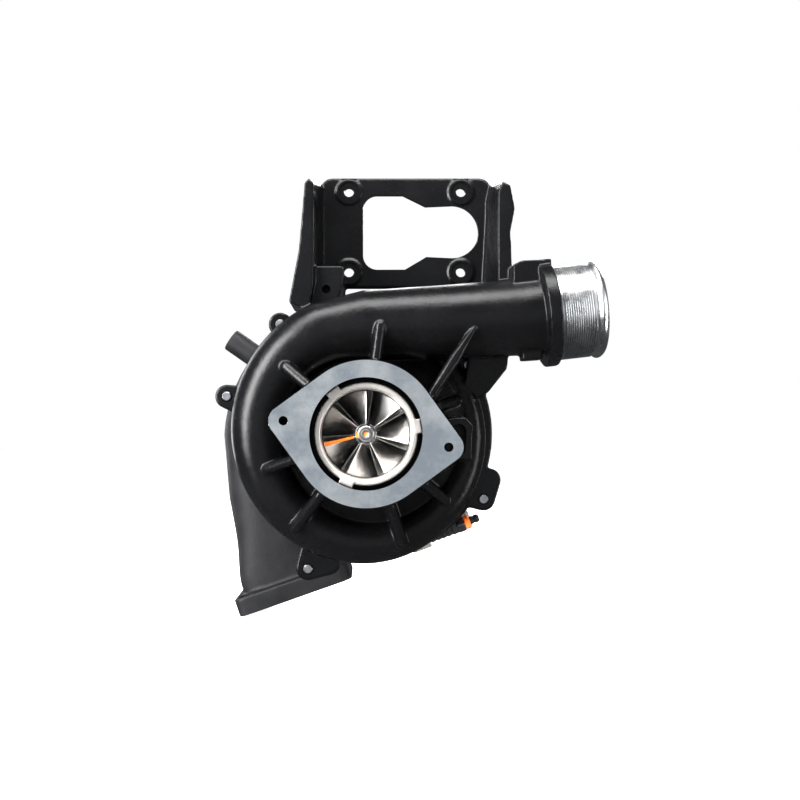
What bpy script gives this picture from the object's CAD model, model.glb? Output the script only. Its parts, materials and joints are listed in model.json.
"""Looks of the variable-geometry turbocharger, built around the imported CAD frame.

Shapes are given in millimetres in the shaft frame: +Y along the shaft with the inlet flange's face
at Y = 0, +X to the right, +Z up. ORIGIN, read from the frame, moves them to their place among the
CAD nodes.
"""

import json
import math
from itertools import pairwise

import bmesh
import bpy
from mathutils import Matrix, Vector
from mathutils.geometry import interpolate_bezier

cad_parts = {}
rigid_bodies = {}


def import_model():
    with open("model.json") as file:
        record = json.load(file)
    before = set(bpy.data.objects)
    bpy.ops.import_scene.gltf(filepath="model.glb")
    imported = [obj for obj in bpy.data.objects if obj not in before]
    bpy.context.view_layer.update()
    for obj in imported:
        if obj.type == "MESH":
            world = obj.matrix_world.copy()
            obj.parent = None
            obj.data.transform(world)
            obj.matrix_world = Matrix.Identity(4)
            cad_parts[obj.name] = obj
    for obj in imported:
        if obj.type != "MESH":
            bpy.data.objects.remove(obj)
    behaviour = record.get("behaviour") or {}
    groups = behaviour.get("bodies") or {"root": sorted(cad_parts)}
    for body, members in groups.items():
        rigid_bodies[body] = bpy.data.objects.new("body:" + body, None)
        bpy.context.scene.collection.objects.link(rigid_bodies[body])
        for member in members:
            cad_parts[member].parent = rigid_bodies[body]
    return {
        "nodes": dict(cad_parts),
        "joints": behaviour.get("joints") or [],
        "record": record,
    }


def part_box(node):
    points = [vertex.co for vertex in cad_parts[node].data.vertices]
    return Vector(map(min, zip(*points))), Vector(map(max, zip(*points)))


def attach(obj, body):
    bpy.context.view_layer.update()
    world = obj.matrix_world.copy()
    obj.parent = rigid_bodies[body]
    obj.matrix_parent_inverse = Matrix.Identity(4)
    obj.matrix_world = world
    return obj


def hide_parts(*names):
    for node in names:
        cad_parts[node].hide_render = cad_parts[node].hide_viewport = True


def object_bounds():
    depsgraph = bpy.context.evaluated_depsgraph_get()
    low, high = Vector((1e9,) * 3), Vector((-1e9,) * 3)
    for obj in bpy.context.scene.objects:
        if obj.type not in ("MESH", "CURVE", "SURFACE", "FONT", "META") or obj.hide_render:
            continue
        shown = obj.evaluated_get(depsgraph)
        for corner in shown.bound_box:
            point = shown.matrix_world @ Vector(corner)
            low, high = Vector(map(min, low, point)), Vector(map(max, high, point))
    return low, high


for old in list(bpy.data.objects):
    bpy.data.objects.remove(old)
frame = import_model()
CAD_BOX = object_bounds()

MM = 0.001
SHAFT, RIGHT, UP = Vector((0, 1, 0)), Vector((1, 0, 0)), Vector((0, 0, 1))
SPIN = next(joint["pos_m"] for joint in frame["joints"] if joint["name"] == "rotor_spin")
ORIGIN = Vector((SPIN[0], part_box("compressor_cover")[0].y, SPIN[2]))

MOST_WEIGHTED_FACES = 20_000  # finer castings look right with plain smooth normals

# Compressor cover
COVER_VOXEL = 1.05
FLANGE_THICK = 9.0
FLANGE_RADIUS = 55.0
FLANGE_BOLT_RADIUS = 62.1
FLANGE_EAR_SIZE = 11.0
FLANGE_EAR_ANGLES = (170.9, -9.1)
FLANGE_FACING = 1.2  # depth of the machined skin on the flange
INLET_BORE = 42.0
NECK_RADIUS = 48.0
COVER_JOINT_Y = 69.0
COVER_RIM = 101.5
PLUG_BORE = 66.6
EAR_PLACES = ((34, 99), (128, 112), (164.9, 116), (246.7, 118), (-29, 108))
EAR_SIZE = 9.5
EAR_ROOTS = ((-30, -104), (99, -37))  # where two of the ears spread to, sideways
RIB_PROUD = 4.5
SCROLL_START, SCROLL_END = 50.0, -265.5
SCROLL_WALL = 4.0
SCROLL_BACK = COVER_JOINT_Y - 0.6
SCROLL_DIAMETER, SCROLL_SWELL = 12, 43  # where it starts, and how much it gains in a turn
SCROLL_REACH, SCROLL_SPREAD = 91.5, 23.5  # the same, for its distance from the shaft
BELLY, BELLY_ANGLE, BELLY_SPAN = 2.5, -82, 38  # the lowest stretch is a little fuller
DUCT_DEPTHS = (41.9, 41.5, 40.6, 41.5, 42.5, 43.2)
DUCT_LINE = ((-6.7, 85.4), (18, 86.5), (50, 87.6), (85, 89.2), (118, 91.6), (141.5, 93.9))
DUCT_DIAMETERS = (53.0, 53.8, 55.6, 57.8, 59.8, 61.4)
DUCT_TILT = 6.5
BRACKET_FACE = 95.0
BRACKET_FRONT = 45.0
BRACKET_SCREWS = [(x, 0, z) for x in (-14.3, 79.7) for z in (136.0, 203.3)]

# Rotor
INDUCER = 33.1
EXDUCER = 43.5
BLADES = 7
BLADE_ANGLE = 89.0  # where the top blade's leading edge stands
BLADE_WRAP = 72.0
SPLITTER_LEAD = 10.0
PAINTED_BLADE = 5  # counted clockwise from the blade at the top
TURBINE_BLADES = 10
COMPRESSOR_HUB = ((8.0, 21), (8.5, 42), (20, 54), (43.2, 56))
COMPRESSOR_TIP = ((INDUCER, 22), (INDUCER, 38), (36, 46), (EXDUCER, 51.2))

# Housings behind the cover
BELL_RADIUS = 82.0
LIP_RADIUS = 86.0
OIL_PORT = (0, 101, 0)
CLAMP_SCREW = Vector((0, 136.3, -99))
COOLANT_DEPTH = 100.0
COOLANT_ANGLE = 145.0
CRANK_ANGLE, CRANK_PIVOT, CRANK_REACH = -51.2, 71.8, 25.0
ACTUATOR_TILT = 20.0
PISTON_DEPTH = 106.0
EXHAUST_SCROLL_FRONT = 147.0
EXHAUST_START, EXHAUST_SWEEP = 180, 300
FOOT_MIDDLE = Vector((-62.5, 177.0, -145.5))
FOOT_NORMAL_ANGLE = -70.7
FOOT_HALF_WIDTH, FOOT_HALF_DEPTH = 44, 31  # to the bolts' middles
OUTLET_Y = 250.0


# ------------ materials


class Nodes:
    """A material under construction: each method adds one node and returns its output."""

    def __init__(self, name):
        self.material = bpy.data.materials.new(name)
        self.material.use_nodes = True
        self.tree = self.material.node_tree
        self.shader = self.tree.nodes["Principled BSDF"]
        self.place = self.add("ShaderNodeTexCoord").outputs["Object"]

    def add(self, kind, inputs=(), **settings):
        node = self.tree.nodes.new(kind)
        for key, value in settings.items():
            setattr(node, key, value)
        for key, value in dict(inputs).items():
            self.feed(node.inputs[key], value)
        return node

    def feed(self, socket, value):
        if isinstance(value, bpy.types.NodeSocket):
            self.tree.links.new(value, socket)
        else:
            socket.default_value = value

    def noise(self, scale, detail=3.0, roughness=0.55, place=None):
        inputs = {"Vector": place or self.place, "Scale": scale}
        inputs |= {"Detail": detail, "Roughness": roughness}
        return self.add("ShaderNodeTexNoise", inputs).outputs["Fac"]

    def spots(self, scale):
        inputs = {"Vector": self.place, "Scale": scale}
        return self.add("ShaderNodeTexVoronoi", inputs).outputs["Distance"]

    def stretched(self, scale):
        inputs = {"Vector": self.place, "Scale": scale}
        return self.add("ShaderNodeMapping", inputs).outputs["Vector"]

    def ramp(self, value, low, high, start=0.0, end=1.0):
        """Maps a value between low and high to a value between start and end."""
        inputs = {"Value": value, "From Min": low, "From Max": high, "To Min": start, "To Max": end}
        return self.add("ShaderNodeMapRange", inputs).outputs["Result"]

    def blend(self, share, first, second):
        node = self.add("ShaderNodeMix", data_type="RGBA")
        self.feed(node.inputs[0], share)
        self.feed(node.inputs[6], first)
        self.feed(node.inputs[7], second)
        return node.outputs[2]

    def maths(self, operation, first, second):
        return self.add("ShaderNodeMath", {0: first, 1: second}, operation=operation).outputs[0]

    def times(self, first, second):
        return self.maths("MULTIPLY", first, second)

    def plus(self, first, second, share):
        return self.maths("ADD", first, self.times(second, share))

    def edges(self, low=0.52, high=0.62):
        """1 along convex edges, where coating wears and polish shows."""
        return self.ramp(self.add("ShaderNodeNewGeometry").outputs["Pointiness"], low, high)

    def bumps(self, *layers):
        """Stacks bump maps, each given as (height value, depth in metres)."""
        normal = None
        for height, depth in layers:
            inputs = {"Height": height, "Distance": depth, "Strength": 1.0}
            if normal:
                inputs["Normal"] = normal
            normal = self.add("ShaderNodeBump", inputs).outputs["Normal"]
        self.feed(self.shader.inputs["Normal"], normal)

    def finish(self, colour, roughness, metallic, **fixed):
        self.feed(self.shader.inputs["Base Color"], colour)
        self.feed(self.shader.inputs["Roughness"], roughness)
        self.shader.inputs["Metallic"].default_value = metallic
        for key, value in fixed.items():
            self.shader.inputs[key.replace("_", " ")].default_value = value
        return self.material


def powder_coat():
    """Semi-gloss black powder coat: orange peel, fine grain, a few dust specks."""
    n = Nodes("black powder coat")
    peel = n.noise(900, 2.0)
    grain = n.noise(3200, 1.0)
    cloud = n.noise(28, 4.0)
    dust = n.ramp(n.spots(420), 0.0, 0.085, 1.0, 0.0)
    dust = n.times(dust, n.ramp(n.noise(55, 2.0), 0.56, 0.68))
    worn = n.times(n.edges(0.56, 0.7), n.ramp(n.noise(240, 3.0), 0.5, 0.62))
    black = n.blend(cloud, (0.003, 0.003, 0.0034, 1), (0.006, 0.006, 0.0065, 1))
    black = n.blend(n.times(worn, 0.3), black, (0.04, 0.04, 0.042, 1))
    colour = n.blend(n.times(dust, 0.4), black, (0.16, 0.15, 0.14, 1))
    roughness = n.ramp(n.plus(cloud, grain, 0.35), 0.4, 0.95, 0.2, 0.33)
    n.bumps((peel, 0.00011), (grain, 0.00004), (cloud, 0.0009))
    return n.finish(colour, roughness, 0.0, Specular_IOR_Level=0.2)


def machined_face():
    """Faced and wiped aluminium: faint cutter sweeps, smudges, hairline scratches."""
    n = Nodes("machined aluminium face")
    moved = {"Vector": n.place, "Location": (0.31, 0.0, 0.17)}
    sweep = n.add("ShaderNodeMapping", moved).outputs["Vector"]
    inputs = {"Vector": sweep, "Scale": 230.0, "Distortion": 1.2, "Detail": 2.0}
    inputs["Detail Scale"] = 2.0
    cut = n.add("ShaderNodeTexWave", inputs, wave_type="RINGS", rings_direction="Y").outputs["Fac"]
    smudge = n.noise(34, 5.0, 0.62)
    wipe = n.noise(26, 4.0, 0.6, n.stretched((1.0, 1.0, 4.5)))
    scratch = n.noise(620, 2.0, 0.5, n.stretched((1.0, 1.0, 0.06)))
    stain = n.ramp(smudge, 0.42, 0.62)
    colour = n.blend(stain, (0.46, 0.495, 0.535, 1), (0.64, 0.66, 0.675, 1))
    colour = n.blend(n.ramp(wipe, 0.5, 0.68, 0.0, 0.5), colour, (0.60, 0.60, 0.60, 1))
    roughness = n.ramp(n.plus(smudge, wipe, 0.6), 0.55, 1.05, 0.16, 0.3)
    n.bumps((cut, 0.000006), (scratch, 0.000012), (smudge, 0.00012))
    return n.finish(colour, roughness, 1.0)


def turned_metal(name, colour, dark, scale, roughness, depth=0.00001, axis="Y"):
    """Metal straight off a lathe: fine rings along the shaft, dull and bright patches."""
    n = Nodes(name)
    inputs = {"Vector": n.place, "Scale": scale, "Distortion": 0.4, "Detail": 1.0}
    rings = n.add("ShaderNodeTexWave", inputs, wave_type="BANDS", bands_direction=axis)
    patch = n.noise(70, 4.0)
    fine = n.noise(1500, 2.0)
    tint = n.blend(n.ramp(patch, 0.35, 0.68), (*dark, 1), (*colour, 1))
    rough = n.ramp(n.plus(patch, fine, 0.4), 0.45, 1.0, *roughness)
    n.bumps((rings.outputs["Fac"], depth), (fine, 0.000012))
    return n.finish(tint, rough, 1.0)


def cast_metal(name, colour, dark, roughness, metallic, grain=700, depth=0.00022, shine=0.5):
    """Sand-cast skin: coarse and fine grain, darker hollows, rubbed edges."""
    n = Nodes(name)
    coarse = n.noise(grain, 4.0, 0.65)
    fine = n.noise(grain * 3.1, 2.0)
    cloud = n.noise(38, 4.0)
    tint = n.blend(n.ramp(cloud, 0.32, 0.7), (*dark, 1), (*colour, 1))
    pale = tuple(min(1.0, c * 1.7 + 0.01) for c in colour)
    tint = n.blend(n.times(n.edges(0.53, 0.66), 0.5), tint, (*pale, 1))
    rough = n.ramp(n.plus(cloud, coarse, 0.5), 0.45, 1.05, *roughness)
    n.bumps((coarse, depth), (fine, depth * 0.3), (cloud, 0.0006))
    return n.finish(tint, rough, metallic, Specular_IOR_Level=shine)


def rubber(name, colour):
    n = Nodes(name)
    bloom = n.noise(160, 4.0)
    dark, pale = (c * 0.75 for c in colour), (min(1, c * 1.15) for c in colour)
    tint = n.blend(bloom, (*dark, 1), (*pale, 1))
    n.bumps((n.noise(2400, 2.0), 0.00003), (bloom, 0.0002))
    return n.finish(tint, n.ramp(bloom, 0.3, 0.7, 0.42, 0.66), 0.0)


def paint_mark():
    """Orange marker paint: thin, streaky, a little glossy."""
    n = Nodes("orange marker paint")
    streak = n.noise(900, 3.0)
    tint = n.blend(streak, (0.75, 0.13, 0.005, 1), (1.0, 0.27, 0.02, 1))
    n.bumps((streak, 0.00006))
    return n.finish(tint, n.ramp(streak, 0.3, 0.7, 0.3, 0.5), 0.0)


def pale_floor():
    n = Nodes("pale floor")
    cloud = n.noise(3.0, 3.0)
    tint = n.blend(cloud, (0.86, 0.86, 0.86, 1), (0.9, 0.9, 0.9, 1))
    n.shader.inputs["Emission Color"].default_value = (1, 1, 1, 1)
    n.shader.inputs["Emission Strength"].default_value = 1.0
    return n.finish(tint, n.ramp(cloud, 0.3, 0.7, 0.7, 0.8), 0.0)


BLACK = powder_coat()
FACE = machined_face()
BRIGHT = turned_metal(
    "machined aluminium", (0.86, 0.87, 0.885), (0.70, 0.71, 0.73), 900, (0.14, 0.30), 0.000016
)
FLOW_CUT = turned_metal(
    "flow-cut aluminium", (0.87, 0.865, 0.855), (0.76, 0.75, 0.74), 520, (0.3, 0.46), 0.00002
)
STEEL = turned_metal("plated steel", (0.56, 0.56, 0.57), (0.36, 0.36, 0.38), 1100, (0.2, 0.4))
HOT_METAL = turned_metal(
    "nickel alloy", (0.40, 0.36, 0.33), (0.22, 0.2, 0.21), 700, (0.3, 0.55), 0.00002
)
BRONZE = turned_metal("bronze", (0.62, 0.42, 0.2), (0.4, 0.25, 0.11), 900, (0.24, 0.42))
SPIGOT = turned_metal(
    "turned spigot", (0.66, 0.665, 0.67), (0.48, 0.485, 0.49), 900, (0.22, 0.34), 0.000006, "X"
)
GREY_CAST = cast_metal(
    "cast aluminium", (0.66, 0.63, 0.60), (0.48, 0.455, 0.43), (0.38, 0.6), 0.85, 900, 0.00012
)
IRON = cast_metal(
    "cast iron", (0.014, 0.014, 0.015), (0.008, 0.008, 0.009), (0.46, 0.64), 0.03, shine=0.28
)
BLACK_RUBBER = rubber("black rubber", (0.015, 0.015, 0.016))
ORANGE_RUBBER = rubber("orange silicone", (0.9, 0.16, 0.015))
DARK_PLASTIC = cast_metal(
    "dark moulded plastic", (0.018, 0.018, 0.019), (0.012,) * 3, (0.3, 0.5), 0.0, 1500, 0.00004
)
PAINT = paint_mark()

NODE_MATERIALS = {
    "black_powder_coat": BLACK,
    "machined_aluminium": BRIGHT,
    "cast_aluminium": GREY_CAST,
    "cast_iron": IRON,
    "steel": STEEL,
    "nickel_alloy": HOT_METAL,
    "bronze": BRONZE,
    "black_rubber": BLACK_RUBBER,
    "orange_rubber": ORANGE_RUBBER,
    "dark_plastic": DARK_PLASTIC,
}


# ------------ plane helpers


def polar(angle, radius):
    return radius * math.cos(math.radians(angle)), radius * math.sin(math.radians(angle))


def radial(angle, radius=1.0, y=0.0):
    x, z = polar(angle, radius)
    return Vector((x, y, z))


def arc(centre, radius, start, end, steps):
    turns = (start + (end - start) * i / steps for i in range(steps + 1))
    return [(centre[0] + x, centre[1] + z) for x, z in (polar(turn, radius) for turn in turns)]


def circle(centre, radius, steps):
    return arc(centre, radius, 0, 360, steps)[:-1]


def turn_of(a, b, c):
    return (b[0] - a[0]) * (c[1] - a[1]) - (b[1] - a[1]) * (c[0] - a[0])


def stretched_round(circles, steps=48):
    """The outline of a band pulled tight round some circles, each given as (x, z, radius)."""
    points = sorted({p for x, z, radius in circles for p in circle((x, z), radius, steps)})

    def half(ordered):
        chain = []
        for p in ordered:
            while len(chain) > 1 and turn_of(chain[-2], chain[-1], p) <= 1e-6:
                chain.pop()
            chain.append(p)
        return chain[:-1]

    return half(points) + half(points[::-1])


def rounded(outline, radius, steps=5):
    """An outline with each corner replaced by a curve that starts radius before the corner."""
    result = []
    count = len(outline)
    for i in range(count):
        corner = Vector(outline[i])
        before, after = Vector(outline[i - 1]), Vector(outline[(i + 1) % count])
        reach = min(radius, 0.45 * (before - corner).length, 0.45 * (after - corner).length)
        start = corner + (before - corner).normalized() * reach
        end = corner + (after - corner).normalized() * reach
        for step in range(steps + 1):
            t = step / steps
            result.append(tuple(start * (1 - t) ** 2 + corner * 2 * t * (1 - t) + end * t**2))
    return result


def smooth_line(points, count):
    """A Catmull-Rom curve through points of any dimension, count samples per stretch."""
    line = [Vector(p) for p in points]
    line = [line[0] * 2 - line[1], *line, line[-1] * 2 - line[-2]]
    samples = []
    for a, b, c, d in zip(line, line[1:], line[2:], line[3:]):
        bend, twist = a * 2 - b * 5 + c * 4 - d, b * 3 - a - c * 3 + d
        for i in range(count):
            t = i / count
            samples.append((b * 2 + (c - a) * t + bend * t**2 + twist * t**3) / 2)
    return [*samples, line[-2]]


def bezier_at(points, count):
    ends = [Vector((r, y, 0)) for r, y in points]
    return [(p.x, p.y) for p in interpolate_bezier(*ends, count)]


# ------------ places that pieces share

DUCT_WAY = radial(DUCT_TILT)
DUCT_END = (Vector((DUCT_LINE[-1][0], DUCT_DEPTHS[-1], DUCT_LINE[-1][1])), DUCT_WAY)
HOUSING_SCREWS = [radial(angle, 52) for angle in (60, 120, 220, 320)]
COOLANT_LINE = ((0, COOLANT_DEPTH, 0), radial(COOLANT_ANGLE))
CRANK_PLACE = radial(CRANK_ANGLE, CRANK_PIVOT)
ACTUATOR_WAY = radial(ACTUATOR_TILT)
PISTON_MIDDLE = CRANK_PLACE + radial(ACTUATOR_TILT - 90, CRANK_REACH) + SHAFT * PISTON_DEPTH
PISTON_LINE = (64, PISTON_MIDDLE, ACTUATOR_WAY)
FOOT_NORMAL = radial(FOOT_NORMAL_ANGLE)
FOOT_ALONG = FOOT_NORMAL.cross(SHAFT)


# ------------ solids


def linked(name, data):
    made = bpy.data.objects.new(name, data)
    bpy.context.scene.collection.objects.link(made)
    return made


def from_bmesh(bm, name):
    mesh = bpy.data.meshes.new(name)
    bm.to_mesh(mesh)
    bm.free()
    return linked(name, mesh)


def solid(bm, name, place=(0, 0, 0)):
    """Closes a mesh given in millimetres, turns its faces outward and puts it at its place."""
    bmesh.ops.remove_doubles(bm, verts=bm.verts, dist=1e-4)
    bmesh.ops.recalc_face_normals(bm, faces=bm.faces)
    for v in bm.verts:
        v.co = (v.co + Vector(place)) * MM + ORIGIN
    return from_bmesh(bm, name)


def aimed(bm, direction):
    turn = UP.rotation_difference(Vector(direction).normalized())
    bmesh.ops.rotate(bm, verts=bm.verts, cent=(0, 0, 0), matrix=turn.to_matrix())


def turned(name, profile, steps=96, place=(0, 0, 0), axis=SHAFT):
    """A turned solid from a closed profile of (radius, length along the axis)."""
    bm = bmesh.new()
    ring = [bm.verts.new((radius, 0, along)) for radius, along in profile]
    pairs = pairwise([*ring, ring[0]])
    edges = [bm.edges.new(pair) for pair in pairs if max(v.co.x for v in pair) > 1e-4]
    way = {"cent": (0, 0, 0), "axis": UP, "angle": math.tau, "steps": steps}
    bmesh.ops.spin(bm, geom=ring + edges, use_merge=True, **way)
    aimed(bm, axis)
    return solid(bm, name, place)


def cone(name, radius1, radius2, start, end, steps=48, place=(0, 0, 0), axis=SHAFT):
    bm = bmesh.new()
    middle = Matrix.Translation((0, 0, (start + end) / 2))
    size = {"radius1": radius1, "radius2": radius2, "depth": end - start}
    bmesh.ops.create_cone(bm, cap_ends=True, segments=steps, matrix=middle, **size)
    aimed(bm, axis)
    return solid(bm, name, place)


def rod(name, radius, start, end, steps=48, place=(0, 0, 0), axis=SHAFT):
    return cone(name, radius, radius, start, end, steps, place, axis)


def ball(name, radius, place):
    bm = bmesh.new()
    bmesh.ops.create_icosphere(bm, subdivisions=3, radius=radius)
    return solid(bm, name, place)


def prism(name, outline, front, back, place=(0, 0, 0), rear_outline=None):
    """A solid between an outline in the XZ plane at Y = front and one at Y = back."""
    near = [(x, front, z) for x, z in outline]
    far = [(x, back, z) for x, z in rear_outline or outline]
    return loft(name, [near, far], place)


def side_plate(name, outline, thickness, angle):
    """A plate whose outline is (distance outward, y), standing in the radial plane at an angle."""
    outward = radial(angle)
    across = outward.cross(SHAFT) * thickness / 2
    rings = [
        [outward * out + SHAFT * y + across * side for out, y in outline] for side in (-1, 1)
    ]
    return loft(name, rings)


def loft(name, rings, place=(0, 0, 0)):
    """A closed solid through rings of points that correspond one to one."""
    bm = bmesh.new()
    rings = [[bm.verts.new(p) for p in ring] for ring in rings]
    for near, far in pairwise(rings):
        for i in range(len(near)):
            j = (i + 1) % len(near)
            bm.faces.new((near[i], near[j], far[j], far[i]))
    bm.faces.new(rings[0])
    bm.faces.new(rings[-1])
    return solid(bm, name, place)


def tube_along(name, stations, sides=64):
    """A solid through rings, each (middle, direction, half width, half depth, squareness)."""
    rings = []
    for middle, direction, half_width, half_depth, squareness in stations:
        across = Vector(direction).normalized().cross(SHAFT)
        ring = []
        for i in range(sides):
            turn = math.tau * i / sides
            sides_of = (f(turn) for f in (math.cos, math.sin))
            c, s = (math.copysign(abs(share) ** (2 / squareness), share) for share in sides_of)
            ring.append(Vector(middle) + across * c * half_width + SHAFT * s * half_depth)
        rings.append(ring)
    return loft(name, rings)


def bar(name, points, radii, steps=20):
    """Round bars between points, with a ball at each. They overlap, and a casting fuses them."""
    made = []
    for (a, ra), (b, rb) in pairwise(zip(map(Vector, points), radii)):
        made.append(cone(name, ra, rb, 0, (b - a).length, steps, a, b - a))
    made += [ball(name, r, p) for p, r in zip(points, radii)]
    return made


def evaluated_mesh(made):
    """Gives an object the mesh that its modifiers make, and drops the modifiers."""
    bpy.context.view_layer.update()
    graph = bpy.context.evaluated_depsgraph_get()
    mesh = bpy.data.meshes.new_from_object(made.evaluated_get(graph))
    made.modifiers.clear()
    old, made.data = made.data, mesh
    bpy.data.meshes.remove(old)
    return made


def combine(target, operation, others):
    """Joins, cuts or intersects closed solids; the others are used up."""
    for other in others:
        modifier = target.modifiers.new(operation.title(), "BOOLEAN")
        modifier.operation = operation
        modifier.solver = "MANIFOLD"
        modifier.object = other
    evaluated_mesh(target)
    for other in others:
        bpy.data.objects.remove(other)
    return target


def join(target, *others):
    return combine(target, "UNION", others)


def cut(target, *others):
    return combine(target, "DIFFERENCE", others)


def together(name, parts):
    """One object holding the meshes of several, which are used up."""
    bm = bmesh.new()
    for part in parts:
        bm.from_mesh(part.data)
        bpy.data.objects.remove(part)
    return from_bmesh(bm, name)


def casting(name, parts, voxel, passes):
    """Fuses overlapping solids into one casting: their seams close up into smooth fillets."""
    made = together(name, parts)
    remesh = made.modifiers.new("Remesh", "REMESH")
    remesh.mode = "VOXEL"
    remesh.voxel_size = voxel * MM
    evening = made.modifiers.new("Smooth", "SMOOTH")
    evening.factor = 0.5
    evening.iterations = passes
    return evaluated_mesh(made)


def bevelled(made, width):
    bevel = made.modifiers.new("Bevel", "BEVEL")
    bevel.width = width * MM
    bevel.segments = 2
    bevel.limit_method = "ANGLE"
    bevel.angle_limit = math.radians(30)
    return evaluated_mesh(made)


def dress(made, material, body, nodes, slot, angle=40):
    """Gives a finished piece its material, and tells the frame what it stands for and rides on."""
    made.data.materials.clear()
    made.data.materials.append(material)
    made.data.shade_smooth()
    made.data.set_sharp_from_angle(angle=math.radians(angle))
    if len(made.data.polygons) < MOST_WEIGHTED_FACES:
        weighted = made.modifiers.new("Weighted", "WEIGHTED_NORMAL")
        weighted.keep_sharp = True
        evaluated_mesh(made)
    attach(made, body)
    if nodes:
        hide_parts(*nodes)


# ------------ compressor cover


def scroll_share(angle):
    return (SCROLL_START - angle) % 360 / 360


def scroll_diameter(angle):
    return SCROLL_DIAMETER + SCROLL_SWELL * scroll_share(angle) ** 0.75


def scroll_front(angle):
    """Depth of the scroll's foremost line at an angle."""
    return SCROLL_BACK - scroll_diameter(angle)


def scroll_station(angle, inset):
    diameter = scroll_diameter(angle)
    belly = BELLY * math.exp(-(((angle - BELLY_ANGLE) / BELLY_SPAN) ** 2))
    outer = SCROLL_REACH + SCROLL_SPREAD * scroll_share(angle) + belly
    radius = diameter / 2 - inset
    middle = radial(angle, outer - diameter / 2, SCROLL_BACK - diameter / 2)
    return middle, radial(angle - 90), radius, radius, 2


def duct_stations(count, inset, extra):
    rows = [(x, y, z, size) for (x, z), y, size in zip(DUCT_LINE, DUCT_DEPTHS, DUCT_DIAMETERS)]
    line = smooth_line(rows, count)
    stations = []
    for i, row in enumerate(line):
        way = line[min(i + 1, len(line) - 1)] - line[max(i - 1, 0)]
        radius = row[3] / 2 - inset + extra
        stations.append((Vector(row[:3]), Vector((way[0], 0, way[2])), radius, radius, 2))
    return stations


def scroll_solid(name, start, inset):
    """The scroll and its duct in one. Leaving out stations where they meet evens the joint."""
    steps, scroll_left_out, duct_left_out = 72, 3, 2
    angles = [start + (SCROLL_END - start) * i / steps for i in range(steps - scroll_left_out)]
    duct = duct_stations(8, inset, 0.2)[duct_left_out:]
    return tube_along(name, [scroll_station(angle, inset) for angle in angles] + duct)


def flange_outline(grow=0.0):
    size = FLANGE_EAR_SIZE + grow
    ears = [(*polar(angle, FLANGE_BOLT_RADIUS), size) for angle in FLANGE_EAR_ANGLES]
    return stretched_round([(0, 0, FLANGE_RADIUS + grow), *ears], 160)


def ear_outline(ear, grow=0.0):
    """A lobe round an ear's bolt hole. Two of the ears are wide, and spread to a second lobe."""
    circles = [(*polar(*ear), EAR_SIZE + grow), (*polar(ear[0], 90), 14 + grow)]
    near = [place for place in EAR_ROOTS if math.dist(place, polar(*ear)) < 30]
    return stretched_round(circles + [(*place, EAR_SIZE + grow) for place in near])


def cover_ribs():
    """Round-topped webs from the neck out over the scroll: (angle, end radius, half thickness)."""
    ribs = ((82.5, 87, 4.2), (20.5, 80, 3.6), (-40, 84, 4.2), (-71.5, 93, 4.2))
    ribs += ((233, 96, 4.2), (199.5, 84, 4.0), (140, 84, 4.4))
    for angle, end, half in ribs:
        y = scroll_front(angle) - RIB_PROUD + half
        top = [(45, 7.5 + half), (58, 8.5 + half), (end - half, y)]
        yield from bar("rib", [radial(angle, *place) for place in top], (half,) * 3)
        web = [*top, (end, y + 6), (end, y + 14), (64, 56), (45, 52)]
        yield side_plate("web", web, 2 * half - 0.2, angle)
    # The long one runs from the flange's shoulder to the outlet duct
    foot, waist, head = Vector((49, 12.5, 29)), Vector((68, 14.4, 58)), Vector((82, 13.2, 80))
    yield from bar("long rib", [foot, waist, head], (3.6, 4.6, 1.7))
    side = (head - foot).cross(SHAFT).normalized() * 3.6
    corners = (foot - side, foot + side, head + side * 0.4, head - side * 0.4)
    yield prism("long web", [(corner.x, corner.z) for corner in corners], 13, 50)
    # A low lip where the scroll's front rises out of the neck's floor
    bends = [(136, 66, 30.5), (122, 64.5, 30), (108, 63, 30), (96, 61.2, 30.3), (86, 61.5, 30)]
    bends += [(75, 65, 28.5), (63, 69.5, 28), (52, 74.5, 31)]
    lip = smooth_line([radial(*bend) for bend in bends], 3)
    yield from bar("lip", lip, [1.9] * len(lip), 12)


def bracket_parts():
    corner = arc((-29, 206.5), 8.5, 180, 90, 8)
    far_corner = arc((96, 206.5), 8.5, 90, 0, 8)
    outline = [(-39, 101), (-38, 150), *corner, *far_corner, (99, 140), (97, 104), (70, 104)]
    outline += [(60, 122.6), (-17, 122.6), (-19, 101)]
    yield prism("plate", outline, BRACKET_FACE, BRACKET_FACE + 7)
    for spot in BRACKET_SCREWS:
        yield rod("pad", 10.6, BRACKET_FACE - 1.5, BRACKET_FACE + 2, place=spot)
    front = [(-48.5, 198), (-45, 201.5), (-41.3, 198), (-41.3, 120), (-45, 97), (-61, 104)]
    rear = [(-46, 208), (-42, 215), (-35.5, 208), (-35.5, 120), (-43, 101), (-61, 104)]
    front, rear = [*front, (-53, 146)], [*rear, (-52, 146)]
    yield prism("left wall", front, BRACKET_FRONT, BRACKET_FACE + 7, rear_outline=rear)
    front = [(104, 190), (108, 199), (114, 196), (117.5, 178), (114, 160), (115.8, 122)]
    rear = [(101, 196), (104, 210), (112, 207), (116, 180), (112, 160), (110, 122)]
    front, rear = [*front, (118, 106), (104, 106)], [*rear, (110, 106), (96, 106)]
    yield prism("right wall", front, BRACKET_FRONT, BRACKET_FACE + 7, rear_outline=rear)
    gusset = [(-46, 96), (-46, 134), (-18, 134), (-18, 121), (-24, 98)]
    yield prism("gusset", gusset, 52, BRACKET_FACE + 2)


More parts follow.
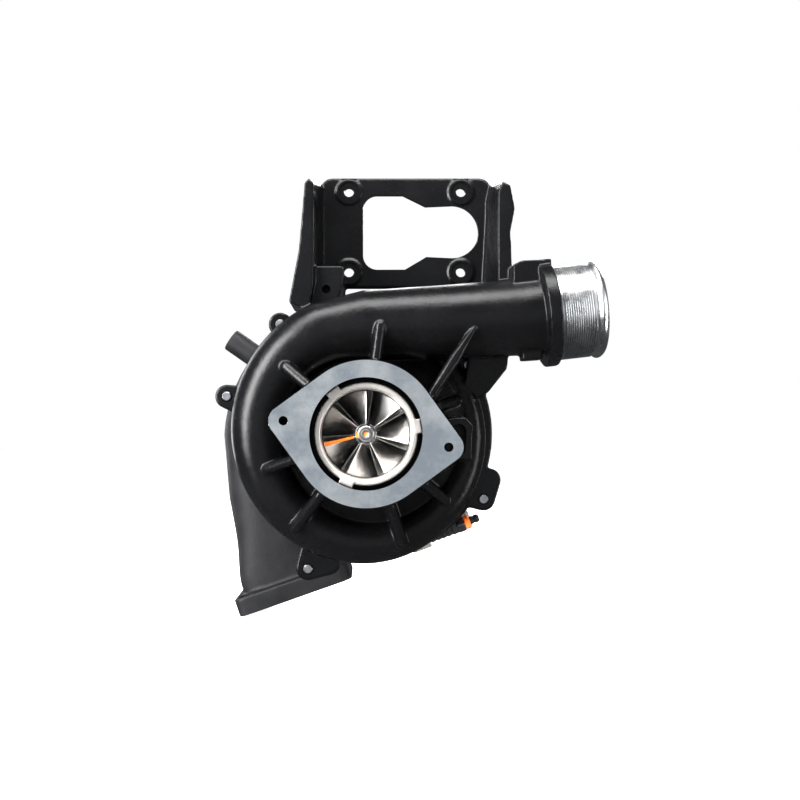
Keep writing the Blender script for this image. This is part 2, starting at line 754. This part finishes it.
def keyhole():
    round_end = arc((72.2, 170.3), 22.6, 88, -92, 40)
    outline = [(9.2, 201.3), (31, 201.3), (50, 191.9), *round_end, (50.7, 148.7), (32.8, 138.1)]
    outline += [(10, 138), *arc((9.5, 150), 12, 265, 180, 8), *arc((9.3, 189.5), 11.8, 180, 95, 8)]
    return prism("keyhole", outline, BRACKET_FACE - 8, BRACKET_FACE + 12)


def cover_casting():
    profile = [(30, 2), (NECK_RADIUS, 2), (NECK_RADIUS, 35), (53, 42), (64, 45), (78, 50), (84, 60)]
    profile += [(COVER_RIM, 60), (COVER_RIM, COVER_JOINT_Y + 3), (30, COVER_JOINT_Y + 3)]
    parts = [turned("core", profile[::-1], 160)]
    parts.append(prism("flange", flange_outline(0.5), -3, FLANGE_THICK))
    parts += [prism("ear", ear_outline(ear), 60.3, COVER_JOINT_Y + 3) for ear in EAR_PLACES]
    parts.append(scroll_solid("scroll", SCROLL_START, 0))
    parts.append(rod("end ring", 41, -5, 5, 96, *DUCT_END))
    duct_boss = [(113, 110), (113, 130), (119, 133), (142, 134.5), (142, 116)]
    fin = [(82, 66), (113, 62), (112, 52), (97, 33), (88, 28), (78, 40)]
    parts += [
        prism("duct boss", duct_boss, 24, 58),
        prism("duct lug", [(121, 57), (137, 58), (137, 68), (121, 68)], 31, 47),
        prism("fin", fin, 50, 62),
        prism("boss", [(59, -19), (81, -20), (82, 6), (76, 13), (62, 12)], 24, 62),
    ]
    made = casting("cover_casting", [*parts, *bracket_parts(), *cover_ribs()], COVER_VOXEL, 7)
    cut(made, *cover_cutters())
    return made


def cover_cutters():
    """What is machined or cored: faces, bores, passages and holes."""
    yield rod("facing", 90, -20, FLANGE_FACING - 0.2, 96)
    contour = [(44.9, 52.2), (43, 49), (41.2, 46), (38.8, 42), (37.2, 38.4), (35.6, 33), (34.9, 29)]
    bore = [(0, 75), (45.6, 75), (45.6, 52.6), *contour, (INLET_BORE, 29), (INLET_BORE, -8)]
    yield turned("bore", [*bore, (0, -8)][::-1], 128)
    yield rod("rear facing", COVER_RIM + 2, COVER_JOINT_Y, COVER_JOINT_Y + 12, 128)
    for ear in EAR_PLACES:
        yield prism("ear facing", ear_outline(ear, 2), COVER_JOINT_Y, COVER_JOINT_Y + 6)
    yield rod("plug bore", PLUG_BORE, 53, COVER_JOINT_Y + 3, 128)
    yield turned("diffuser", [(79, 57.3), (79, 52.7), (60, 52.7), (60, 57.3)], 96)
    yield scroll_solid("passage", 20, SCROLL_WALL)
    yield tube_along("duct bore", duct_stations(8, SCROLL_WALL, 0.4))
    yield rod("mouth", 27.6, -13, 12, 64, *DUCT_END)
    for angle in FLANGE_EAR_ANGLES:
        yield rod("hole", 3.6, -2, FLANGE_THICK + 2, 32, radial(angle, FLANGE_BOLT_RADIUS))
    for ear in EAR_PLACES:
        yield rod("ear hole", 4.4, 55, 75, 24, radial(*ear))
    yield keyhole()
    for spot in BRACKET_SCREWS:
        yield rod("screw hole", 4.25, BRACKET_FACE - 5, BRACKET_FACE + 12, 32, spot)
        yield rod("counterbore", 8.2, BRACKET_FACE - 5, BRACKET_FACE - 0.6, 48, spot)
    yield rod("tapping", 3.4, 44, 68, 32, (-31.7, 0, 115.2))
    pocket = rounded([(64, -14), (76, -15), (77, 4), (73, 8), (66, 7)], 2.5)
    yield prism("pocket", pocket, 16, 36)


def inlet_face():
    """The machined skin of the inlet flange, with its bright chamfers."""
    made = prism("inlet_face", flange_outline(), 0, FLANGE_FACING)
    holes = [rod("hole", 3.4, -5, 9, 48, radial(a, FLANGE_BOLT_RADIUS)) for a in FLANGE_EAR_ANGLES]
    cut(made, rod("bore", INLET_BORE, -5, 9, 160), *holes)
    return bevelled(made, 0.45)


# ------------ pieces at the inlet


def shroud_ring():
    profile = rounded([(34.4, 8), (38.9, 8), (38.9, 24), (36, 27.5), (33.9, 27.5), (33.9, 16)], 1.2)
    parts = [turned("ring", profile, 128)]
    for angle in (8.5, 128, 248):
        parts.append(side_plate("strut", [(36, 7.6), (41.8, 7.6), (41.8, 25), (36, 25)], 11, angle))
    return casting("shroud_ring_cast", parts, 0.5, 3)


def spigot():
    """Aluminium hose spigot: fine lathe-cut ridges, a smooth band and a hose bead."""
    outer = [(36.4, 5.4), (36.4, 7.0)]
    for number in range(14):
        ridge = 7.4 + 1.7 * number
        outer += [(36.7, ridge), (36.8, ridge + 0.3), (36.8, ridge + 0.8)]
        outer += [(36.6, ridge + 1.1), (35.9, ridge + 1.3), (35.9, ridge + 1.5)]
    outer += [(36.3, 31.4), (36.4, 33.2), (37.1, 34.0), (38.1, 35.2), (38.4, 36.4)]
    outer += [(38.1, 37.7), (37.2, 39.0), (36.2, 40), (32.2, 40), (31.4, 39.4)]
    inner = [(30.6, 37), (28.5, 10), (23.0, -10), (26.6, -10), (26.6, -6.5)]
    inner += [(24.6, -6.5), (24.6, -3.5), (26.6, -3.5), (26.6, 5.4)]
    return turned("outlet_spigot_turned", outer + inner, 128, *DUCT_END)


# ------------ wheels


def blade(hub_line, tip_line, start, turn_at, thick, first=0.0, columns=30, rows=9):
    """A thin curved blade with a rounded leading edge, between a hub line and a tip line."""
    count = len(hub_line)

    def lerp(line, u):
        at = u * (count - 1)
        i = min(int(at), count - 2)
        t = at - i
        return Vector(line[i]) * (1 - t) + Vector(line[i + 1]) * t

    shares = [first + (1 - first) * (i / (columns - 1)) ** 1.5 for i in range(columns)]
    bm = bmesh.new()
    grids = []
    for side in (-1, 1):
        grid = []
        for i, u in enumerate(shares):
            edge = min(1.0, math.sqrt((i + 0.15) / 4))
            root, tip = lerp(hub_line, u), lerp(tip_line, u)
            column = []
            for j in range(rows):
                share = j / (rows - 1)
                radius, y = root.lerp(tip, share)
                half = side * thick * (1 - 0.55 * share) * edge / 2
                angle = start + turn_at(u, share) + math.degrees(half / radius)
                column.append(bm.verts.new(radial(angle, radius, y)))
            grid.append(column)
        grids.append(grid)
    for grid in grids:
        for a, b in pairwise(grid):
            for j in range(rows - 1):
                bm.faces.new((a[j], a[j + 1], b[j + 1], b[j]))
    rims = []
    for grid in grids:
        rim = [column[0] for column in grid] + grid[-1][1:]
        rims.append(rim + [column[-1] for column in grid[-2::-1]] + grid[0][-2:0:-1])
    for i in range(len(rims[0])):
        j = (i + 1) % len(rims[0])
        bm.faces.new((rims[0][i], rims[0][j], rims[1][j], rims[1][i]))
    return solid(bm, "blade")


def blade_turn(u, share=0):
    return BLADE_WRAP * (1 - (1 - u) ** 1.8)


def splitter_turn(u, share=0):
    return blade_turn(u) - SPLITTER_LEAD * (1 - u) ** 2


def compressor_blade(number, splitter, grow=0.0, columns=30):
    hub_line = bezier_at(COMPRESSOR_HUB, 40)
    root_line = [(max(r - 1.2, 5.2), y + 0.6) for r, y in hub_line]
    tip_line = bezier_at(COMPRESSOR_TIP, 40)
    start = BLADE_ANGLE - 360 / BLADES * number + (180 / BLADES if splitter else 0)
    thick = (1.5 if splitter else 1.8) + grow
    turn_at, first = (splitter_turn, 0.2) if splitter else (blade_turn, 0.0)
    return blade(root_line, tip_line, start, turn_at, thick, first, columns)


def compressor_wheel():
    hub_line = bezier_at(COMPRESSOR_HUB, 28)
    profile = [(4.3, 20.4), (7.4, 20.4), (7.9, 20.8), *hub_line, (43.2, 57.0)]
    profile += [(16, 58.2), (12, 61), (4.3, 61)]
    made = turned("compressor_wheel_machined", profile, 96)
    kinds = [(number, splitter) for number in range(BLADES) for splitter in (False, True)]
    return join(made, *(compressor_blade(*kind) for kind in kinds))


def locknut():
    profile = [(4.4, 15.3), (5.6, 15.3), (6.1, 15.6), (7.4, 18.4), (7.7, 19.2), (7.7, 20.1)]
    return turned("locknut_turned", [*profile, (4.4, 20.1)], 96)


def turbine_turn(u, share):
    return 42 * u**1.8


def rotor_shaft():
    """The shaft with its turbine wheel; its front end has a centre hole."""
    hub_line = bezier_at([(36.2, 142), (17, 145), (11, 156), (10, 179)], 20)
    tip_line = bezier_at([(36.2, 149.0), (32.5, 152.5), (31.0, 160), (31.0, 178)], 20)
    shaft = [(0, 15.4), (1.3, 14.2), (2.2, 13.6), (3.4, 13.6), (4, 14.3), (4, 84), (5.5, 84)]
    shaft += [(5.5, 129), (8.6, 129), (8.6, 130.6), (7.4, 130.6), (7.4, 132.4), (8.6, 132.4)]
    shaft += [(8.6, 137), (14, 140.6), (36.2, 140.8)]
    nose = [(8.6, 180.5), (7, 182.5), (6.2, 185), (5, 186), (0, 186)]
    made = turned("shaft_and_turbine_wheel", [*shaft, *hub_line, *nose][::-1], 80)
    root_line = [(max(r - 1.5, 6), y - 0.7) for r, y in hub_line]
    starts = [360 / TURBINE_BLADES * number for number in range(TURBINE_BLADES)]
    lines = (root_line, tip_line)
    return join(made, *(blade(*lines, a, turbine_turn, 2.2, 0.0, 24, 7) for a in starts))


# ------------ castings behind the cover


def backplate():
    front = COVER_JOINT_Y + 0.3
    back = 77.0
    profile = [(10, 62.5), (44.4, 58.4), (44.4, 57.9), (66.2, 57.9), (66.2, front)]
    profile += [(COVER_RIM - 0.5, front), (COVER_RIM - 0.5, back), (10, back)]
    parts = [turned("disc", profile, 128)]
    parts += [prism("ear", ear_outline(ear), front + 0.2, back - 0.3) for ear in EAR_PLACES]
    made = casting("backplate_cast", parts, 1.2, 2)
    holes = [rod("hole", 4.4, 60, 80, 24, radial(*ear)) for ear in EAR_PLACES]
    holes += [rod("hole", 3.4, 66, 80, 24, place) for place in HOUSING_SCREWS]
    groove = turned("groove", [(63.4, 60.8), (70, 60.8), (70, 65.2), (63.4, 65.2)][::-1], 96)
    return cut(made, rod("bore", 14.2, 50, 90, 64), groove, *holes)


def bearing_housing():
    front = 77.3
    outer = [(8, front), (60, front), (60, 85.5), (43, 85.5), (37, 90), (34, 100), (36, 110)]
    outer += [(44, 116), (BELL_RADIUS, 116), (BELL_RADIUS, 130.6), (LIP_RADIUS, 131.2)]
    outer += [(LIP_RADIUS, 138), (8, 138)]
    parts = [
        turned("core", outer, 120),
        prism("inlet pad", rounded([(-17, 20), (-17, 54), (17, 54), (17, 20)], 3), 88, 114),
        prism("drain pad", rounded([(-20, -20), (-20, -62), (20, -62), (20, -20)], 3), 87, 115.8),
        rod("coolant boss", 14, 22, 48, 48, *COOLANT_LINE),
    ]
    for angle in (20, 75, 110, 185, 235, 330):
        parts.append(side_plate("web", [(30, 84), (56, 84), (70, 118), (30, 118)], 5, angle))
    made = casting("bearing_housing_cast", parts, 1.3, 5)
    inner = [(0, 136.2), (77, 136.2), (77, 122), (26, 122), (23, 134.2), (9.2, 134.2), (9.2, 127)]
    inner += [(10.2, 127), (10.2, 86.6), (13.5, 86.6), (13.5, 70), (0, 70)]
    cutters = [
        turned("core hollow", inner, 96),
        rod("rear facing", 100, 136, 150, 96),
        rod("front facing", 75, 60, front, 96),
        rod("oil inlet", 5, 12, 60, 32, OIL_PORT, UP),
        rod("oil drain", 10, 12, 70, 48, OIL_PORT, (0, 0, -1)),
        rod("coolant", 7.5, 30, 60, 32, *COOLANT_LINE),
        rod("crank hole", 4.6, 110, 126, 32, CRANK_PLACE),
    ]
    cutters += [rod("tapping", 3.4, 70, 92, 24, place) for place in HOUSING_SCREWS]
    return cut(made, *cutters)


def exhaust_station(angle, inset):
    share = (EXHAUST_START - angle) / EXHAUST_SWEEP
    diameter = 60 - 42 * share
    outer = 131 - 38 * share
    radius = diameter / 2 - inset
    middle = radial(angle, outer - diameter / 2, EXHAUST_SCROLL_FRONT + diameter / 2)
    return middle, radial(angle - 90), radius, radius, 2


def exhaust_leg(inset):
    """From the foot's square port up to the round scroll, evened out between four sections."""
    rows = [(-1.0 if inset else 4.0, 43, 30, 4.5, -2), (28, 42, 29.5, 3.6, -4)]
    rows += [(62, 35.8, 29.5, 2.8, -1.8), (104, 31, 29.8, 2.2, 0)]
    stations = []
    for distance, width, depth, squareness, shift in smooth_line(rows, 8):
        middle = FOOT_MIDDLE - FOOT_NORMAL * distance + FOOT_ALONG * shift
        stations.append((middle, -FOOT_NORMAL, width - inset, depth - inset, squareness))
    return stations


def exhaust_scroll(name, inset):
    angles = [EXHAUST_START - EXHAUST_SWEEP * i / 60 for i in range(61)]
    scroll = [exhaust_station(angle, inset) for angle in angles]
    return tube_along(name, exhaust_leg(inset) + scroll, 56)


def foot_flange():
    corners = [(x * FOOT_HALF_WIDTH, y * FOOT_HALF_DEPTH) for x in (-1, 1) for y in (-1, 1)]
    plate = stretched_round([(*corner, 9.0) for corner in corners], 40)
    rings = [
        [FOOT_MIDDLE + FOOT_ALONG * x + SHAFT * y - FOOT_NORMAL * depth for x, y in plate]
        for depth in (-3, 16)
    ]
    return loft("foot", rings)


def foot_bolt_places():
    x, y = FOOT_ALONG * FOOT_HALF_WIDTH, SHAFT * FOOT_HALF_DEPTH
    return [FOOT_MIDDLE + x * across + y * deep for across in (-1, 1) for deep in (-1, 1)]


def turbine_housing():
    front = 136.3
    profile = [(30, front - 3), (LIP_RADIUS, front - 3), (LIP_RADIUS, 141.1), (BELL_RADIUS, 141.7)]
    profile += [(BELL_RADIUS, 168), (56, 190), (44, 200), (42, 240), (50, 241.5), (54, 243)]
    profile += [(54, OUTLET_Y + 3), (30, OUTLET_Y + 3)]
    parts = [turned("core", profile[::-1], 120), exhaust_scroll("scroll", 0), foot_flange()]
    made = casting("turbine_housing_cast", parts, 1.5, 5)
    bore = [(0, 260), (38, 260), (38, 250), (36, 205), (32.6, 184), (32.6, 160), (34.6, 152.8)]
    bore += [(38, 150.2), (62, 150.2), (62, 139.7), (77, 139.7), (77, 125), (0, 125)]
    face = [FOOT_MIDDLE, FOOT_NORMAL]
    cutters = [
        turned("bore", bore[::-1], 96),
        rod("front facing", 120, 120, front, 96),
        rod("rear facing", 80, OUTLET_Y, OUTLET_Y + 20, 96),
        rod("foot facing", 90, 0, 20, 64, *face),
        exhaust_scroll("passage", 5.0),
        turned("throat", [(75.5, 170), (75.5, 139.4), (60.5, 139.4), (60.5, 170)], 96),
    ]
    cutters += [rod("hole", 5.2, -30, 20, 32, p, FOOT_NORMAL) for p in foot_bolt_places()]
    return cut(made, *cutters)


# ------------ small turned and bolted pieces


def coolant_pipe():
    profile = [(9.5, 138.2), (9.5, 54), (10.4, 52.4), (11.5, 52), (11.5, 48.4), (7.3, 48.4)]
    profile += [(7.3, 138.2), (7.7, 139), (9.1, 139)]
    return turned("coolant_pipe_drawn", profile[::-1], 64, *COOLANT_LINE)


def oil_fitting():
    where = (OIL_PORT, UP)
    made = rod("oil_fitting_turned", 11, 54.3, 62, 6, *where)
    nipple = [(0, 74), (5.2, 74), (6.5, 72.6), (6.5, 70), (5.6, 69), (5.6, 66), (6.5, 65)]
    nipple += [(6.5, 60), (0, 60)]
    join(made, turned("nipple", nipple, 48, *where), rod("thread", 4.6, 42, 56, 32, *where))
    cut(made, rod("bore", 2.6, 38, 80, 32, *where))
    return bevelled(made, 0.35)


def hex_bolt(name, place, axis, shank, length, head, head_height):
    """A flanged hexagon screw with a chamfered head and end."""
    washer = 0.28 * head_height
    profile = [(0, length), (shank - 0.6, length), (shank, length - 0.6), (shank, 0)]
    profile += [(head * 1.28, 0), (head * 1.28, -washer * 0.7), (head * 1.18, -washer)]
    profile.append((0, -washer))
    made = turned(name, profile, 48, place, axis)
    top = rod("hexagon", head, -head_height, 1 - washer, 6, place, axis)
    peak = -head_height - 0.02
    dome = [(0, 2), (head * 1.3, 2), (head * 1.3, -head_height + 1.1), (head * 0.86, peak)]
    combine(top, "INTERSECT", [turned("dome", [*dome, (0, peak)], 48, place, axis)])
    return bevelled(join(made, top), 0.2)


def clamp_band():
    profile = [(83.2, 128.2), (90.0, 128.6), (90.6, 129.4), (90.6, 143.0), (90.0, 143.8)]
    profile += [(83.2, 144.2), (83.2, 142.2), (87.3, 141.8), (87.3, 130.5), (83.2, 130.1)]
    made = turned("clamp_band_rolled", profile[::-1], 144)
    lugs = [
        prism("lug", rounded([(x, -88.6), (x + 4, -88.6), (x + 4, -106), (x, -106)], 1), 130, 142.6)
        for x in (-9, 5)
    ]
    cut(made, prism("split", [(-5, -70), (5, -70), (5, -110), (-5, -110)], 120, 150))
    join(made, *lugs)
    cut(made, rod("hole", 3.4, -15, 15, 32, CLAMP_SCREW, RIGHT))
    return bevelled(made, 0.3)


def clamp_nut():
    where = (CLAMP_SCREW + RIGHT * 9.3, RIGHT)
    made = rod("clamp_nut_cut", 5.8, 0, 6, 6, *where)
    cut(made, rod("thread", 3.3, -2, 8, 32, *where))
    return bevelled(made, 0.35)


# ------------ vane actuator


def in_actuator(*places):
    """Points in the XZ plane, each given as (along the piston, across it, away from the crank)."""
    middle, way = PISTON_MIDDLE, ACTUATOR_WAY
    return [(middle.x + way.x * a + way.z * b, middle.z + way.z * a - way.x * b) for a, b in places]


VALVE_X, VALVE_Z = in_actuator((0, 4))[0]
VALVE_LINE = (Vector((VALVE_X, 85.5, VALVE_Z)), ACTUATOR_WAY)


def actuator_housing():
    case = in_actuator((-15, -3), (-15, -23), (-9, -34), (9, -34), (15, -23), (20, -3))
    block = in_actuator((-20, -8), (-20, 13), (-3, 13), (-3, -8))
    parts = [
        rod("barrel", 13, -22, 31, *PISTON_LINE),
        rod("collar", 13, 26, 31, *PISTON_LINE),
        prism("gear case", case, 96, 115.7),
        prism("valve block", block, 79, 100),
    ]
    made = casting("actuator_housing_cast", parts, 0.8, 4)
    cavity = [(-11.5, 2), (-11.5, -19), (-7.4, -31.6), (7.4, -31.6), (11.5, -19), (11.5, 2)]
    return cut(
        made,
        rod("bore", 9.4, -18, 40, *PISTON_LINE),
        prism("cavity", in_actuator(*cavity), 99.4, 111.6),
        rod("shaft hole", 4.6, 108, 118, 32, CRANK_PLACE),
        rod("valve hole", 5, -12, 10, 32, *VALVE_LINE),
    )


def actuator_cap():
    profile = [(0, 35), (11.2, 35), (12.6, 34.2), (13, 33), (13, 31.3), (9.1, 31.3)]
    profile += [(9.1, 27), (0, 27)]
    return turned("actuator_cap_turned", profile, *PISTON_LINE)


def valve_body():
    ridges = [(6.6, -2.4)]
    for start in (0.5, 5, 9.5, 14):
        ridges += [(6.6, start), (5.7, start + 0.8), (5.7, start + 2.4), (6.6, start + 3.2)]
    profile = [(0, 21), (6.2, 21), (6.6, 20.4), *ridges[::-1], (4.6, -2.4), (4.6, -10), (0, -10)]
    return turned("valve_body_ribbed", profile, 48, *VALVE_LINE)


def valve_collar():
    return bevelled(rod("valve_collar_cut", 7.4, 21.3, 28, 6, *VALVE_LINE), 0.5)


def connector_seal():
    profile = [(0, 33), (3.8, 33), (4.5, 32.4), (5.2, 31.4), (5.2, 28.8), (4.8, 28.3), (0, 28.3)]
    return turned("connector_seal_moulded", profile, 48, *VALVE_LINE)


def valve_connector():
    profile = [(0, 41), (2.4, 41), (3.1, 40.2), (3.4, 39), (3.4, 37.6), (3.0, 37.2)]
    profile += [(3.0, 36), (3.4, 35.6), (3.4, 33.3), (0, 33.3)]
    return turned("valve_connector_moulded", profile, 48, *VALVE_LINE)


# ------------ painted marks


def blade_paint():
    """The marked blade's leading edge."""
    film = compressor_blade(PAINTED_BLADE, False, 0.35, 40)
    for v in film.data.vertices:
        v.co.y -= 0.12 * MM
    film.name = "painted_blade_edge"
    keep = turned("keep", [(10.0, 20.5), (32.6, 20.5), (32.6, 23.6), (10.0, 22.9)][::-1], 64)
    return combine(film, "INTERSECT", [keep])


def nut_paint():
    """Paint in the shaft's centre hole and a dab on the nut beside it."""
    centre = turned("centre", [(0, 15.1), (1.2, 14.0), (1.4, 14.2), (0, 15.5)], 32)
    dab = turned("dab", [(5.9, 15.2), (7.5, 18.3), (7.3, 18.4), (5.7, 15.3)], 64)
    angle = BLADE_ANGLE - 360 / BLADES * PAINTED_BLADE
    wedge = [(0, 0), polar(angle - 22, 12), polar(angle + 12, 12)]
    combine(dab, "INTERSECT", [prism("wedge", wedge, 10, 22)])
    return together("painted_centre", [centre, dab])


# ------------ studio


def stage():
    bm = bmesh.new()
    bmesh.ops.create_circle(bm, cap_ends=True, segments=96, radius=9.0)
    floor = from_bmesh(bm, "floor")
    floor.location.z = CAD_BOX[0].z - 0.002
    floor.data.materials.append(pale_floor())
    floor.visible_glossy = False


def softbox(name, place, size, power, tint=(1, 1, 1)):
    """A rectangular light turned to the object's middle."""
    light = bpy.data.lights.new(name, "AREA")
    light.shape = "RECTANGLE"
    light.size, light.size_y = size
    light.energy = power
    light.color = tint
    lamp = linked(name, light)
    lamp.location = place
    way = Vector((0, 0, 0.02)) - Vector(place)
    lamp.rotation_euler = way.to_track_quat("-Z", "Y").to_euler()


def studio():
    softbox("top softbox", (-0.05, -0.42, 0.85), (1.2, 0.42), 33)
    softbox("left softbox", (-0.8, -0.62, 0.25), (0.34, 1.0), 44)
    softbox("right softbox", (0.9, -0.45, -0.05), (0.25, 0.8), 8)
    softbox("front card", (0.0, -1.5, 0.02), (1.5, 1.1), 3.4, (0.93, 0.97, 1.0))
    softbox("rear softbox", (0.5, 1.0, 0.7), (1.2, 0.6), 22)
    softbox("rear left softbox", (-0.9, 0.9, 0.25), (0.4, 1.0), 6)
    world = bpy.data.worlds.new("studio")
    world.use_nodes = True
    tree = world.node_tree
    seen, felt = tree.nodes["Background"], tree.nodes.new("ShaderNodeBackground")
    for sky, colour, strength in ((seen, (1, 1, 1, 1), 1.0), (felt, (0.94, 0.97, 1.0, 1), 0.14)):
        sky.inputs["Color"].default_value = colour
        sky.inputs["Strength"].default_value = strength
    path = tree.nodes.new("ShaderNodeLightPath")
    mix = tree.nodes.new("ShaderNodeMixShader")
    tree.links.new(path.outputs["Is Camera Ray"], mix.inputs[0])
    tree.links.new(felt.outputs[0], mix.inputs[1])
    tree.links.new(seen.outputs[0], mix.inputs[2])
    tree.links.new(mix.outputs[0], tree.nodes["World Output"].inputs["Surface"])
    bpy.context.scene.world = world
    bpy.context.scene.view_settings.view_transform = "Standard"
    bpy.context.scene.view_settings.gamma = 0.83


def camera():
    data = bpy.data.cameras.new("camera")
    data.sensor_width = 36
    data.lens = 42.57
    data.shift_x = data.shift_y = 0.0425
    made = linked("camera", data)
    made.location = (ORIGIN.x, ORIGIN.y - 0.70, ORIGIN.z)
    made.rotation_euler = (math.pi / 2, 0, 0)
    bpy.context.scene.camera = made


# ------------ assembly


def main():
    slots = {entry["node"]: entry["material_slot"] for entry in frame["record"]["subparts"]}
    for name, node in frame["nodes"].items():
        node.data.materials.clear()
        node.data.materials.append(NODE_MATERIALS[slots[name]])

    def place(made, material, node, body="housing", angle=40):
        dress(made, material, body, [node], slots[node], angle)

    place(cover_casting(), BLACK, "compressor_cover", angle=55)
    dress(inlet_face(), FACE, "housing", ["compressor_cover"], "machined_aluminium")
    place(shroud_ring(), GREY_CAST, "shroud_ring")
    place(spigot(), SPIGOT, "outlet_spigot", angle=25)
    place(compressor_wheel(), FLOW_CUT, "compressor_wheel", "rotor")
    place(locknut(), STEEL, "compressor_locknut", "rotor", 25)
    place(rotor_shaft(), HOT_METAL, "turbine_wheel_and_shaft", "rotor")
    dress(blade_paint(), PAINT, "rotor", [], "orange_rubber")
    dress(nut_paint(), PAINT, "rotor", [], "orange_rubber")
    place(backplate(), BLACK, "backplate", angle=55)
    place(bearing_housing(), IRON, "bearing_housing", angle=55)
    place(turbine_housing(), IRON, "turbine_housing", angle=55)
    place(coolant_pipe(), IRON, "coolant_pipe")
    place(oil_fitting(), STEEL, "oil_inlet_fitting")
    for number, ear in enumerate(EAR_PLACES, 1):
        made = hex_bolt(f"cover_screw_{number}", radial(*ear, 77.3), -SHAFT, 3.8, 18.2, 6.4, 6.4)
        place(made, STEEL, f"cover_bolt_{number}")
    for number, spot in enumerate(HOUSING_SCREWS, 1):
        made = hex_bolt(f"backplate_screw_{number}", spot + SHAFT * 85.8, -SHAFT, 3.0, 15, 5.4, 5)
        place(made, STEEL, f"housing_screw_{number}")
    place(clamp_band(), STEEL, "clamp_band")
    made = hex_bolt("clamp_screw", CLAMP_SCREW - RIGHT * 9.3, RIGHT, 3.0, 26, 5.2, 5)
    place(made, STEEL, "clamp_bolt")
    place(clamp_nut(), STEEL, "clamp_nut")
    place(actuator_housing(), GREY_CAST, "actuator_housing", angle=55)
    place(actuator_cap(), GREY_CAST, "actuator_end_cap")
    place(valve_body(), DARK_PLASTIC, "vane_control_valve")
    place(valve_collar(), STEEL, "valve_collar")
    place(connector_seal(), ORANGE_RUBBER, "connector_seal")
    place(valve_connector(), DARK_PLASTIC, "valve_connector")
    stage()
    studio()
    camera()


main()
